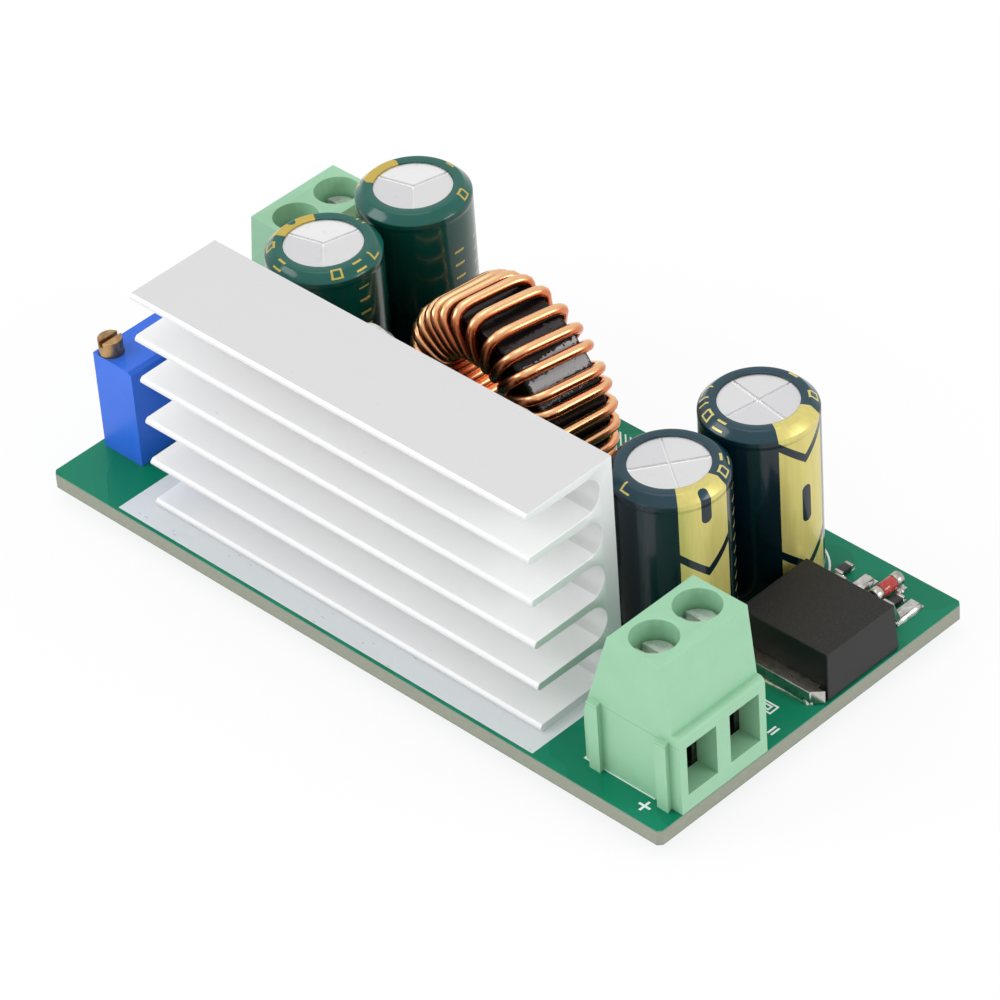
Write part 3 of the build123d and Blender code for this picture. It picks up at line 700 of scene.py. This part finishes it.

# %% [markdown]
# ## Cans with scored tops
#
# The aluminium can shows only at the top, where it is pressed into sectors between ridges so that
# it can split safely. CAD has the scored lines. Each sector is painted a tone of its own, a painted
# reflection: each is dished a little differently and mirrors another part of the room. Tilting each
# sector in the mesh would do it too, but a tone by angle is simpler and stays with the ridges. The
# ridges are painted near white, as a painted highlight.


# %% Drawn aluminium in sectors
def can_finish(node_name, arms, tones):
    """Drawn aluminium whose top has ridges at these angles, painted near white as a highlight, and a
    tone of painted reflection between each two.
    """
    low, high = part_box(node_name)
    made = Finish(node_name + "_metal", Metallic=0.85)
    point, x, y, z = made.place()
    east, north = x - (low.x + high.x) / 2, y - (low.y + high.y) / 2
    around = (direction_of(east, north) / math.tau + (1 - arms[0] / 360)).fraction()
    # Painted reflection: each sector between two ridges gets its own tone.
    shade = made.mix(0.0, tones[0], tones[0])
    for arm, tone in zip(arms[1:], tones[1:]):
        shade = made.mix(around > ((arm - arms[0]) % 360) / 360, shade, tone)
    ridge_and_highlight = 0.0 * x
    for arm in arms:
        turn = math.radians(arm)
        ahead = east * math.cos(turn) + north * math.sin(turn)
        beside = north * math.cos(turn) - east * math.sin(turn)
        ridge_and_highlight = ridge_and_highlight.either(made.fade(abs(beside), 0.2 * MM, 0.05 * MM) * (ahead > 0.0))
    smudge = made.fade(made.noise(point, 0.9 * MM, 4.0, 0.6), 0.6, 0.72)
    fine = made.noise(point, 0.12 * MM, 3.0)
    shade = made.mix(smudge * 0.35, shade, colour(206, 206, 208))
    return made.set(
        # Painted highlight: the ridges are painted near white.
        Base_Color=made.mix(ridge_and_highlight * 0.9, shade, grey(250)),
        Roughness=0.3 + fine * 0.16,
        Normal=made.bump(ridge_and_highlight * 0.8 + fine * 0.06, 0.12 * MM, 0.7),
    )


print("can finish ready")

# %% The four cans, their bungs and leads
# Painted reflection: the sector tones of the can tops, lighter and darker.
bright, middle, soft = grey(246), colour(230, 230, 231), colour(224, 224, 226)
can_tops = {
    "input_front_capacitor": ((55, 145, 235, 325), (middle, soft, middle, middle)),
    "input_rear_capacitor": ((-9, 81, 171, 261), (soft, middle, middle, soft)),
    "output_front_capacitor": ((75, 195, 315), (bright, soft, middle)),
    "output_rear_capacitor": ((75, 195, 315), (bright, soft, middle)),
}
rubber = plastic("bung_rubber", colour(30, 30, 31), colour(22, 22, 23), 0.7, 0.2 * MM, 0.01 * MM)
for capacitor, (arms, tones) in can_tops.items():
    dress(f"{capacitor}_can", can_finish(f"{capacitor}_can", arms, tones))
    dress(f"{capacitor}_bung", rubber)
    dress(f"{capacitor}_leads", tin)
print(len(dressed), "nodes dressed so far")

# %% [markdown]
# ## The choke
#
# The choke is a ring of pressed iron powder under a thick glossy black coating. It leans and is
# turned a little on the board, so its own three directions are worked out first, and all that is
# painted or wound on it is counted from them. On the rim the coating is worn to grey in a few ragged
# patches. Each is a range of angles whose edges are pushed in and out by noise.

# %% The ring's own directions
ring_centre = Vector((-3.4, 6.55, 13.35)) * MM
ring_turned, ring_lean = math.radians(-6.5), math.radians(-4.0)
ring_along = Vector((math.cos(ring_turned), math.sin(ring_turned), 0))
ring_across = Vector((-math.sin(ring_turned), math.cos(ring_turned), 0))
ring_up = Vector((0, 0, 1)) * math.cos(ring_lean) + ring_across * math.sin(ring_lean)
ring_axis = ring_across * math.cos(ring_lean) - Vector((0, 0, 1)) * math.sin(ring_lean)
print("ring's middle is", round((ring_centre.z - board_top) / MM, 2), "mm above the board")

# %% Coated core
core = Finish(
    "black_coating", Roughness=0.36, Specular_IOR_Level=0.2, Coat_Weight=0.1, Coat_Roughness=0.06
)
point = core.place()[0]
from_middle = point - tuple(ring_centre)


def part_along(direction):
    """How far a point of the core lies from its middle in one direction."""
    sockets = {0: from_middle, 1: tuple(direction)}
    return core.node("ShaderNodeVectorMath", {"operation": "DOT_PRODUCT"}, sockets).out("Value")


east, rise, deep = part_along(ring_along), part_along(ring_up), part_along(ring_axis)
round_angle = direction_of(east, rise) * (180 / math.pi)
ragged = core.noise(point, 0.35 * MM, 4.0, 0.7) - 0.5
on_rim = (reach(east, rise) > 8.8 * MM) * (abs(deep + ragged * 1.1 * MM) < 3.0 * MM)
tone = core.mix(0.0, colour(14, 14, 15), colour(14, 14, 15))
worn_patches = ((38.7, 4.1, 158), (49.3, 1.5, 190), (62.4, 3.0, 66), (27.0, 0.4, 130))
for middle_angle, half_angle, level in worn_patches:
    worn = (abs(round_angle + ragged * 9 - middle_angle) < half_angle) * on_rim * (ragged < 0.17)
    tone = core.mix(worn, tone, colour(level, level, level + 2))
pits = core.fade(core.noise(point, 0.4 * MM, 2.0), 0.7, 0.73)
core.set(
    Base_Color=core.mix(pits, tone, colour(12, 12, 13)),
    Normal=core.bump(core.noise(point, 0.8 * MM, 2.0), 0.12 * MM, 0.5),
)
dress("choke_core", core, 0.25 * MM, 3)
print("core worn in", len(worn_patches), "places")

# %% [markdown]
# ## The winding
#
# The wire is copper under a clear enamel that deepens its colour. Its upper side is painted a paler
# copper, as a painted highlight. CAD keeps it as one six-sided sweep. A screw-shaped mesh would be quick,
# but too even: this choke is wound by hand, and some turns are pushed along the ring. So it is a
# round bevelled curve through guide points, eight for each turn, and each turn may have its own push.

# %% Enamelled copper
copper_wire = Finish("enamelled_copper", Metallic=1.0, Coat_Weight=0.5, Coat_Roughness=0.1)
point = copper_wire.place()[0]
cloud = copper_wire.noise(point, 1.3 * MM, 3.0)
scuff = copper_wire.fade(copper_wire.noise(point, 0.45 * MM, 3.0), 0.66, 0.74)
# Painted highlight: the upward-facing side of the wire is painted a paler copper.
painted_highlight_top = copper_wire.fade(copper_wire.facing()[2], 0.3, 0.95)
wire_tone = copper_wire.mix(cloud, colour(226, 132, 82), colour(200, 108, 62))
wire_tone = copper_wire.mix(painted_highlight_top, wire_tone, colour(255, 200, 146))
copper_wire.set(
    Base_Color=copper_wire.mix(scuff * 0.5, wire_tone, colour(250, 206, 164)),
    Roughness=0.2 + cloud * 0.1 + scuff * 0.15,
)
print("copper mixed")

# %% Measures of the winding
wire_radius = 0.52 * MM
wire_outer, wire_inner, wire_side = 9.475 * MM, 4.875 * MM, 3.825 * MM
turn_count, turn_pitch, turn_slant, first_turn = 23, 11.7, 4.7, 223.6
pushed_by_hand = {
    8: 0.5, 9: 5.0, 10: 7.5, 11: 7.0, 12: 4.4, 13: 0.9, 14: -0.8, 15: 0.0, 16: -2.2, 17: -0.4,
    18: -1.6, 19: -2.8, 20: -4.4, 21: -2.5,
}
chance = random.Random(4)
print("turns are", turn_pitch, "degrees apart and", len(pushed_by_hand), "are set by hand")


# %% Guide points of the wire
def round_ring(angle, radius, side):
    """A point by the core: angle round it in degrees, radius and place across its width."""
    turn = math.radians(angle)
    outward = ring_along * math.cos(turn) + ring_up * math.sin(turn)
    return ring_centre + outward * radius - ring_axis * side


def looseness(number):
    """How far a turn's outer run stands off the core: most where the turns are spread."""
    if 11 <= number <= 14:
        return 0.22 * MM
    return -0.08 * MM if number < 11 else 0.02 * MM


def outer_run(number, angle):
    """Wide bends and an arched run over the outside, slanted from front to rear."""
    loose, back = looseness(number), angle - turn_slant
    return [
        round_ring(angle, wire_outer + 0.2 * MM + loose / 2, wire_side + 0.1 * MM),
        round_ring((angle + back) / 2, wire_outer + loose, 0),
        round_ring(back, wire_outer - 0.12 * MM + loose / 2, 0.05 * MM - wire_side),
        round_ring(back, wire_outer - 1.9 * MM, -wire_side),
    ]


def inner_run(even):
    """Tight bends through the hole and back to the front for the next turn."""
    corner = 0.8 * MM
    crossing = (turn_pitch - turn_slant) / 3
    behind, ahead = even - turn_slant - crossing, even - turn_slant - 2 * crossing
    return [
        round_ring(behind, wire_inner + corner, -wire_side),
        round_ring(behind, wire_inner, corner - wire_side),
        round_ring(ahead, wire_inner, wire_side - corner),
        round_ring(ahead, wire_inner + corner, wire_side),
    ]


def wire_points():
    """The whole wire: up through the board, round the ring and down through the board."""
    start, end = Vector((-10.6 * MM, 3.95 * MM, 0)), Vector((3.8 * MM, 9.15 * MM, 0))
    low = board_top + 0.9 * MM
    points = [start + Vector((0, 0, board_bottom)), start + Vector((0, 0, low))]
    for number in range(turn_count):
        even = first_turn - number * turn_pitch
        points += outer_run(number, even + pushed_by_hand.get(number, chance.uniform(-0.5, 0.5)))
        if number < turn_count - 1:
            points += inner_run(even)
    return points + [end + Vector((0, 0, low)), end + Vector((0, 0, board_bottom))]


guide_points = wire_points()
print(len(guide_points), "guide points")


# %% Wind the wire
def bent_wire(name, points, radius):
    """A round wire along a smooth curve through its guide points."""
    curve = bpy.data.curves.new(name, "CURVE")
    curve.dimensions = "3D"
    curve.bevel_depth = radius
    curve.bevel_resolution = 4
    curve.resolution_u = 5
    curve.use_fill_caps = True
    spline = curve.splines.new("NURBS")
    spline.points.add(len(points) - 1)
    for guide, place in zip(spline.points, points):
        guide.co = (*place, 1.0)
    spline.order_u = 3
    spline.use_endpoint_u = True
    made = bpy.data.objects.new(name, curve)
    bpy.context.scene.collection.objects.link(made)
    return made


winding = bent_wire("choke_wire", guide_points, wire_radius)
winding.data.materials.append(copper_wire.data)
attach(winding, "module")
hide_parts("choke_winding")
print("choke wound with", turn_count, "turns")

# %% [markdown]
# ## Chip resistors and silicone pads
#
# The chip resistors are ceramic under a dark glaze. The pads behind the power packages are grey
# silicone sheet. Both are small and partly hidden, so the recipe for moulded plastic is enough: only
# its colours and its roughness change.

# %% Glaze and silicone
glaze = plastic("dark_glaze", colour(30, 30, 33), colour(44, 44, 48), 0.3, 0.1 * MM, 0.004 * MM)
dress("chip_resistor_bodies", glaze, 0.03 * MM)
silicone = plastic(
    "grey_silicone", colour(150, 154, 156), colour(134, 138, 142), 0.65, 0.2 * MM, 0.01 * MM
)
dress("thermal_pads", silicone)
print(len(dressed), "nodes dressed in place")

# %% [markdown]
# ## Turned shapes and melted solder
#
# CAD draws the diode and the solder joints with flat sides. A Subdivision modifier would round them,
# but it would shrink them too. Here they are turned from a profile, which keeps their size. Solder
# that has melted round a foot has no flat side at all: it is a mound with a wavy edge, built ring
# by ring.


# %% Tools for round and melted shapes
def mesh_object(name, shape, finish):
    """An object of the module from a finished shape."""
    for face in shape.faces:
        face.smooth = True
    data = bpy.data.meshes.new(name)
    shape.to_mesh(data)
    shape.free()
    made = bpy.data.objects.new(name, data)
    bpy.context.scene.collection.objects.link(made)
    data.materials.append(finish.data)
    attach(made, "module")
    return made


def join_rows(shape, rows):
    """Faces between each closed row of corners and the next."""
    for row, after in zip(rows, rows[1:]):
        for side in range(len(row)):
            turn = (side + 1) % len(row)
            shape.faces.new((row[side], row[turn], after[turn], after[side]))


def turn_profile(shape, profile, centre, direction, sides=24):
    """Turn a profile of (distance along, radius) pairs about a line through the centre."""
    direction = Vector(direction)
    one = direction.orthogonal().normalized()
    other = direction.cross(one)
    rows = []
    for distance, radius in profile:
        row = []
        for side in range(sides):
            angle = math.tau * side / sides
            outward = one * math.cos(angle) + other * math.sin(angle)
            row.append(shape.verts.new(centre + direction * distance + outward * radius))
        rows.append(row)
    join_rows(shape, rows)
    shape.faces.new(list(reversed(rows[0])))
    shape.faces.new(rows[-1])


print("shapes can be turned")


# %% A mound of solder
def mound(shape, x, y, half_x, half_y, height, phase, sides=28, rings=6):
    """An oval with a wavy edge on the board that rises to a soft top."""
    rows = []
    for ring_number in range(rings):
        climb = math.pi / 2 * ring_number / rings
        row = []
        for side in range(sides):
            angle = math.tau * side / sides
            wave = 1 + 0.07 * math.sin(3 * angle + phase) + 0.05 * math.sin(5 * angle + 2 * phase)
            spread = math.cos(climb) ** 0.6 * wave
            level = height * math.sin(climb) ** 1.3 * (1 + 0.12 * math.sin(2 * angle + phase))
            place_x = x + half_x * spread * math.cos(angle)
            place_y = y + half_y * spread * math.sin(angle)
            row.append(shape.verts.new((place_x, place_y, board_top + level)))
        rows.append(row)
    join_rows(shape, rows)
    top = shape.verts.new((x, y, board_top + height))
    for side in range(sides):
        shape.faces.new((rows[-1][side], rows[-1][(side + 1) % sides], top))


print("mounds can be poured")


# %% Find the separate solids of a node
def solids_of(name):
    """The box of each separate solid of a node, in the order of its corners."""
    shape = bmesh.new()
    shape.from_mesh(nodes[name].data)
    bmesh.ops.remove_doubles(shape, verts=shape.verts, dist=0.001 * MM)
    unseen = set(shape.verts)
    boxes = []
    for first in shape.verts:
        if first not in unseen:
            continue
        unseen.discard(first)
        waiting, found = [first], []
        while waiting:
            corner = waiting.pop()
            found.append(corner.co.copy())
            for edge in corner.link_edges:
                other = edge.other_vert(corner)
                if other in unseen:
                    unseen.discard(other)
                    waiting.append(other)
        low = Vector([min(place[axis] for place in found) for axis in range(3)])
        high = Vector([max(place[axis] for place in found) for axis in range(3)])
        boxes.append((low, high))
    shape.free()
    return boxes


pads = solids_of("surface_solder")
joint_boxes = solids_of("solder_joints")
print(len(pads), "pads and", len(joint_boxes), "joints found")

# %% [markdown]
# Under the board each lead ends in a cone of solder with a hollow flank, cut off flat at the tip. A
# power of the height gives the hollow: the wider the foot, the further the flank runs out.

# %% Solder joints under the board
joint_shape = bmesh.new()
tip_radius, flank_power, flank_steps = 0.42 * MM, 2.4, 6
for low, high in joint_boxes:
    foot = (high.x - low.x) / 2
    profile = []
    for number in range(flank_steps + 1):
        step = number / flank_steps
        profile.append((step * high.z, tip_radius + (foot - tip_radius) * step**flank_power))
    tip = Vector(((low.x + high.x) / 2, (low.y + high.y) / 2, 0))
    turn_profile(joint_shape, profile, tip, (0, 0, 1), 20)
joints = mesh_object("smooth_joints", joint_shape, solder)
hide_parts("solder_joints")
print("turned", len(joint_boxes), "solder joints")

# %% [markdown]
# The diode is a little cylinder of orange-red glass between two tinned ends. It could be clear glass
# with a chip inside, but at this size the glass reads as one glossy red bead, so it is a coated
# surface with a streak of a darker red.

# %% The glass diode
red_glass = Finish("red_glass", Roughness=0.08, Coat_Weight=0.3)
streak = red_glass.noise(red_glass.place()[0], 0.5 * MM, 2.0)
red_glass.set(Base_Color=red_glass.mix(streak, colour(200, 60, 50), colour(152, 34, 30)))


def bead(shape, low, high, radius, straight):
    """A cylinder along Y in this box whose ends are drawn in a little."""
    half = (high.y - low.y) / 2
    profile = [
        (-half, radius * 0.9), (-half * straight, radius), (half * straight, radius), (half, radius * 0.9)
    ]
    turn_profile(shape, profile, (low + high) / 2, (0, 1, 0))


glass_low, glass_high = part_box("diode_glass")
glass_shape = bmesh.new()
bead(glass_shape, glass_low, glass_high, (glass_high.z - glass_low.z) * 0.43, 0.85)
glass = mesh_object("round_glass", glass_shape, red_glass)
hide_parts("diode_glass")
cap_shape = bmesh.new()
for low, high in solids_of("diode_ends"):
    bead(cap_shape, low, high, (high.z - low.z) * 0.41, 0.8)
caps = mesh_object("round_diode_ends", cap_shape, tin)
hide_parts("diode_ends")
print("diode is", round((glass_high.y - glass_low.y) / MM, 2), "mm of glass between two ends")

# %% [markdown]
# On the pads the solder stands in little heaps against the feet of the parts. Long pads get one long
# low heap at the edge that shows, and a small one at its end.

# %% Mounds of solder on the pads
mound_shape = bmesh.new()
for number, (low, high) in enumerate(pads):
    size = high - low
    if size.x > 4 * MM:
        seam_middle = (low.x + high.x) / 2
        mound(mound_shape, seam_middle, low.y + 0.16 * MM, size.x * 0.48, 0.36 * MM, 0.2 * MM, 2.0, 72)
        mound(mound_shape, high.x - 0.4 * MM, low.y + 0.2 * MM, 0.5 * MM, 0.4 * MM, 0.4 * MM, 0.7)
        continue
    middle = (low + high) / 2
    tall = 0.62 * MM if size.y > 2 * MM else 0.4 * MM
    mound(mound_shape, middle.x, middle.y, size.x * 0.62, size.y * 0.54, tall, number * 1.3)
mesh_object("solder_mounds", mound_shape, solder)
print("solder poured on", len(pads), "pads")

# %% [markdown]
# ## Camera
#
# The camera was worked out from straight edges of the board and from parts of known size. It looks
# down at about 39 degrees with a long lens, so the lines stay nearly parallel. It could track an
# empty at the middle, but the picture is rolled by a few degrees too, so its three directions are
# written out and put into one matrix.

# %% Camera
aim = Vector((2.3, -1.48, 8.9)) * MM
azimuth, elevation, roll = math.radians(46.81), math.radians(38.63), math.radians(-4.39)
distance = 446.2 * MM
flat_back = Vector((math.sin(azimuth), -math.cos(azimuth), 0))
backward = flat_back * math.cos(elevation) + Vector((0, 0, math.sin(elevation)))
rightward = (-backward).cross(Vector((0, 0, 1))).normalized()
upward = rightward.cross(-backward)
rolled_right = rightward * math.cos(roll) + upward * math.sin(roll)
rolled_up = upward * math.cos(roll) - rightward * math.sin(roll)
camera_data = bpy.data.cameras.new("camera")
camera_data.lens = 190.16
camera_data.sensor_width = 36.0
camera = bpy.data.objects.new("camera", camera_data)
bpy.context.scene.collection.objects.link(camera)
turned = Matrix((rolled_right, rolled_up, backward)).transposed().to_4x4()
camera.matrix_world = Matrix.Translation(aim + backward * distance) @ turned
bpy.context.scene.camera = camera
print("camera", round(camera_data.lens, 1), "mm lens,", round(distance / MM), "mm away")

# %% [markdown]
# ## Floor and light
#
# The floor is a plain sheet of white paper. Lamps strong enough to turn it pure white would burn out
# the pale metal, so the sheet glows a little for the camera and for mirrors only, and still takes a
# soft shadow. The world gives most of the light. Four large soft lamps shape the edges: one above,
# one from the right and two from the front.

# %% Floor
floor_mesh = bpy.data.meshes.new("floor")
floor_shape = bmesh.new()
bmesh.ops.create_grid(floor_shape, x_segments=1, y_segments=1, size=3.0)
floor_shape.to_mesh(floor_mesh)
floor_shape.free()
floor = bpy.data.objects.new("floor", floor_mesh)
bpy.context.scene.collection.objects.link(floor)
paper = Finish("white_paper", Base_Color=grey(244), Roughness=0.9)
glow = paper.node("ShaderNodeEmission", None, {"Color": grey(255), "Strength": 1.0})
path = paper.node("ShaderNodeLightPath")
seen = path.out("Is Camera Ray").either(path.out("Is Glossy Ray")).either(path.out("Is Transmission Ray"))
plain_paper = Value(paper, paper.surface.outputs[0])
sheet = paper.node("ShaderNodeMixShader", None, {0: seen * 0.85, 1: plain_paper, 2: glow})
paper.put(paper.tree.nodes["Material Output"].inputs["Surface"], sheet)
floor.data.materials.append(paper.data)
print("floor laid")

# %% World
world = bpy.data.worlds.new("studio")
bpy.context.scene.world = world
world.use_nodes = True
sky = Nodes(world.node_tree)
studio_strength, backdrop_strength = 0.82, 1.0
studio = sky.tree.nodes["Background"]
sky.put(studio.inputs["Color"], grey(255))
sky.put(studio.inputs["Strength"], studio_strength)
backdrop = sky.node("ShaderNodeBackground", None, {"Color": grey(255), "Strength": backdrop_strength})
for_camera = sky.node("ShaderNodeLightPath").out("Is Camera Ray")
sockets = {0: for_camera, 1: Value(sky, studio.outputs[0]), 2: backdrop}
background = sky.node("ShaderNodeMixShader", None, sockets)
sky.put(sky.tree.nodes["World Output"].inputs["Surface"], background)
print("world lit at", studio_strength)

# %% [markdown]
# A sun would give hard shadows. Large rectangular lamps give the long soft glints that show how round
# an edge is.


# %% Lamps
def softbox(name, place, size, power):
    """A rectangular lamp that faces the middle of the board, as a soft window does."""
    light = bpy.data.lights.new(name, "AREA")
    light.shape = "RECTANGLE"
    light.size, light.size_y = size
    light.energy = power
    lamp = bpy.data.objects.new(name, light)
    bpy.context.scene.collection.objects.link(lamp)
    lamp.location = place
    lamp.rotation_euler = (Vector(place) - Vector((0, 0, 0.01))).to_track_quat("Z", "Y").to_euler()


softbox("top_light", (-0.1, 0.05, 0.6), (0.3, 0.45), 0.44)
softbox("right_light", (0.49, 0.23, 0.26), (0.22, 0.22), 0.84)
softbox("front_light", (-0.34, -0.4, 0.36), (0.3, 0.3), 1.0)
softbox("low_light", (-0.12, -0.6, 0.13), (0.35, 0.16), 0.3)
bpy.context.scene.view_settings.view_transform = "Standard"
print(len(bpy.data.lights), "lamps hung")
